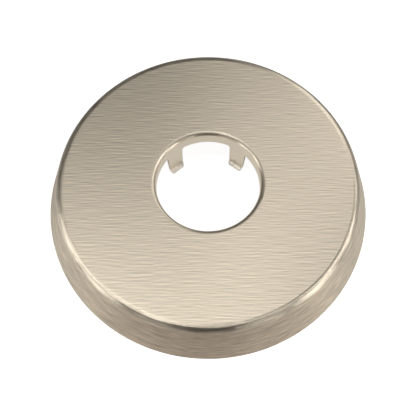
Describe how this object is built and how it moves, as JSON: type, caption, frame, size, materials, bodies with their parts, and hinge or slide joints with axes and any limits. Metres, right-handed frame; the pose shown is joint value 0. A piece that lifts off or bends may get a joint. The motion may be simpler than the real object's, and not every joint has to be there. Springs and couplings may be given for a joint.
{
  "type": "shower arm flange",
  "caption": "Round sheet-metal wall flange with a leaning skirt and a drawn collar whose hooked spring fingers grip a shower arm.",
  "frame": {"origin": "on the axis of the hole, in the plane of the wall that the skirt's edge rests on", "axes": "+Z out of the wall along the arm, -Y towards the viewer, +X to the viewer's right"},
  "size_m": [0.07, 0.07, 0.0102],
  "materials": {
    "nickel": "brushed nickel plate on sheet steel, warm grey, satin"
  },
  "bodies": {
    "root": {"flange": "nickel"}
  },
  "joints": []
}
